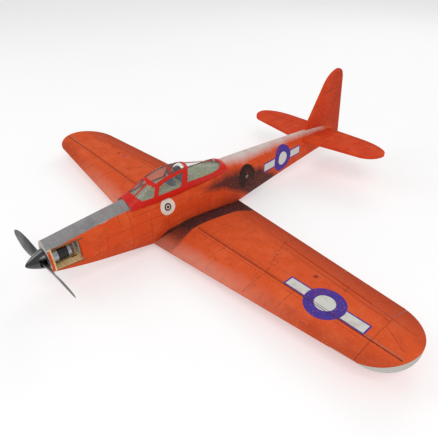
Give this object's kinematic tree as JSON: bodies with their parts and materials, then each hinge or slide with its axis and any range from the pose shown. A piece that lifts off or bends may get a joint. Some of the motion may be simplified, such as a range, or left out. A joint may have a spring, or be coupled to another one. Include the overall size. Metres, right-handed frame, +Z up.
{
  "type": "rc foam airplane",
  "caption": "Low-wing foam model warbird with round-tip wings, hinged ailerons and elevator, lift-off clear canopy, nose-mounted motor, pointed spinner and propeller.",
  "frame": {"origin": "bottom centre of the whole aeroplane, on the plane of its flat belly", "axes": "+X to port along the span, +Y aft with the nose towards -Y, +Z up; the thrust line is parallel to Y"},
  "size_m": [0.973, 0.84, 0.233],
  "materials": {
    "foam_orange": "printed foam, beaded",
    "plywood": "laser-cut ply",
    "carbon": "satin carbon fibre",
    "black_plastic": "satin",
    "gloss_black": "gloss",
    "white_plastic": "nylon",
    "steel": "wire",
    "motor_aluminium": "satin",
    "motor_black": "satin black",
    "magnet_nickel": "nickel plate",
    "copper": "enamelled copper",
    "clear_canopy": "clear moulded sheet with painted frames",
    "khaki_deck": "painted foam",
    "dark_pad": "painted",
    "pilot_paint": "painted foam",
    "battery_wrap": "heat-shrink",
    "strap_fabric": "hook and loop"
  },
  "bodies": {
    "airframe": {"aileron_servo_left": "black_plastic", "aileron_servo_right": "black_plastic", "battery": "battery_wrap", "battery_strap": "strap_fabric", "bay_magnets": "magnet_nickel", "dihedral_brace": "plywood", "elevator_servo": "black_plastic", "fin": "foam_orange", "firewall": "plywood", "fuselage_left": "foam_orange", "fuselage_right": "foam_orange", "hinge_leaves_fixed": "white_plastic", "hinge_pins": "steel", "motor_base": "motor_aluminium", "motor_bearings": "steel", "motor_box_bottom": "plywood", "motor_box_top": "plywood", "motor_screws": "steel", "motor_stator": "steel", "motor_windings": "copper", "receiver": "black_plastic", "spar_left": "carbon", "spar_right": "carbon", "speed_controller": "black_plastic", "stabiliser": "foam_orange", "wing_left": "foam_orange", "wing_right": "foam_orange"},
    "rotor": {"motor_can": "motor_black", "motor_end_cap": "motor_aluminium", "motor_magnets": "magnet_nickel", "motor_shaft": "steel", "prop_collet": "motor_aluminium", "prop_nut": "steel", "propeller": "black_plastic", "spinner_backplate": "gloss_black", "spinner_cone": "gloss_black"},
    "canopy_hatch": {"canopy": "clear_canopy", "cockpit_deck": "khaki_deck", "instrument_panel": "plywood", "headrest": "dark_pad", "pilot": "pilot_paint", "hatch_magnets": "magnet_nickel"},
    "aileron_left": {"aileron_left": "foam_orange", "hinge_leaves_aileron_left": "white_plastic", "aileron_horn_left": "white_plastic"},
    "aileron_right": {"aileron_right": "foam_orange", "hinge_leaves_aileron_right": "white_plastic", "aileron_horn_right": "white_plastic"},
    "elevator": {"elevator_left": "foam_orange", "elevator_right": "foam_orange", "elevator_joiner": "steel", "hinge_leaves_elevator": "white_plastic", "elevator_horn": "white_plastic"},
    "servo_arm_left": {"aileron_servo_arm_left": "white_plastic"},
    "servo_arm_right": {"aileron_servo_arm_right": "white_plastic"},
    "servo_arm_elevator": {"elevator_servo_arm": "white_plastic"},
    "pushrod_left": {"aileron_pushrod_left": "steel"},
    "pushrod_right": {"aileron_pushrod_right": "steel"},
    "pushrod_elevator": {"elevator_pushrod": "steel"}
  },
  "joints": [
    {"name": "propeller_spin", "type": "hinge", "parent": "airframe", "child": "rotor", "pos_m": [0, -0.395, 0.073], "axis": [0, 1, 0], "continuous": true},
    {"name": "canopy_lift", "type": "slide", "parent": "airframe", "child": "canopy_hatch", "axis": [0, 0, 1], "range_m": [0, 0.08]},
    {"name": "aileron_left_hinge", "type": "hinge", "parent": "airframe", "child": "aileron_left", "pos_m": [0.30071, -0.04911, 0.03541], "axis": [0.987, -0.1481, 0.0618], "range_deg": [-25, 25]},
    {"name": "aileron_right_hinge", "type": "hinge", "parent": "airframe", "child": "aileron_right", "pos_m": [-0.30071, -0.04911, 0.03541], "axis": [0.987, 0.1481, -0.0618], "range_deg": [-25, 25]},
    {"name": "elevator_hinge", "type": "hinge", "parent": "airframe", "child": "elevator", "pos_m": [0, 0.321, 0.0882], "axis": [1, 0, 0], "range_deg": [-25, 25]},
    {"name": "servo_arm_left_turn", "type": "hinge", "parent": "airframe", "child": "servo_arm_left", "pos_m": [0.29341, -0.09857, 0.03341], "axis": [0.987, -0.1481, 0.0618], "range_deg": [-25, 25]},
    {"name": "servo_arm_right_turn", "type": "hinge", "parent": "airframe", "child": "servo_arm_right", "pos_m": [-0.29341, -0.09857, 0.03341], "axis": [0.987, 0.1481, -0.0618], "range_deg": [-25, 25]},
    {"name": "servo_arm_elevator_turn", "type": "hinge", "parent": "airframe", "child": "servo_arm_elevator", "pos_m": [-0.03, 0.155, 0.078], "axis": [1, 0, 0], "range_deg": [-25, 25]},
    {"name": "pushrod_left_pivot", "type": "hinge", "parent": "servo_arm_left", "child": "pushrod_left", "pos_m": [0.29426, -0.0987, 0.01944], "axis": [0.987, -0.1481, 0.0618], "range_deg": [-25, 25]},
    {"name": "pushrod_right_pivot", "type": "hinge", "parent": "servo_arm_right", "child": "pushrod_right", "pos_m": [-0.29426, -0.0987, 0.01944], "axis": [0.987, 0.1481, -0.0618], "range_deg": [-25, 25]},
    {"name": "pushrod_elevator_pivot", "type": "hinge", "parent": "servo_arm_elevator", "child": "pushrod_elevator", "pos_m": [-0.03, 0.155, 0.064], "axis": [1, 0, 0], "range_deg": [-25, 25]}
  ],
  "couplings": [
    {"joint": "aileron_right_hinge", "follows": "aileron_left_hinge", "ratio": -1},
    {"joint": "servo_arm_left_turn", "follows": "aileron_left_hinge", "ratio": 1},
    {"joint": "servo_arm_right_turn", "follows": "aileron_left_hinge", "ratio": -1},
    {"joint": "pushrod_left_pivot", "follows": "aileron_left_hinge", "ratio": -1},
    {"joint": "pushrod_right_pivot", "follows": "aileron_left_hinge", "ratio": 1},
    {"joint": "servo_arm_elevator_turn", "follows": "elevator_hinge", "ratio": 1},
    {"joint": "pushrod_elevator_pivot", "follows": "elevator_hinge", "ratio": -1}
  ]
}
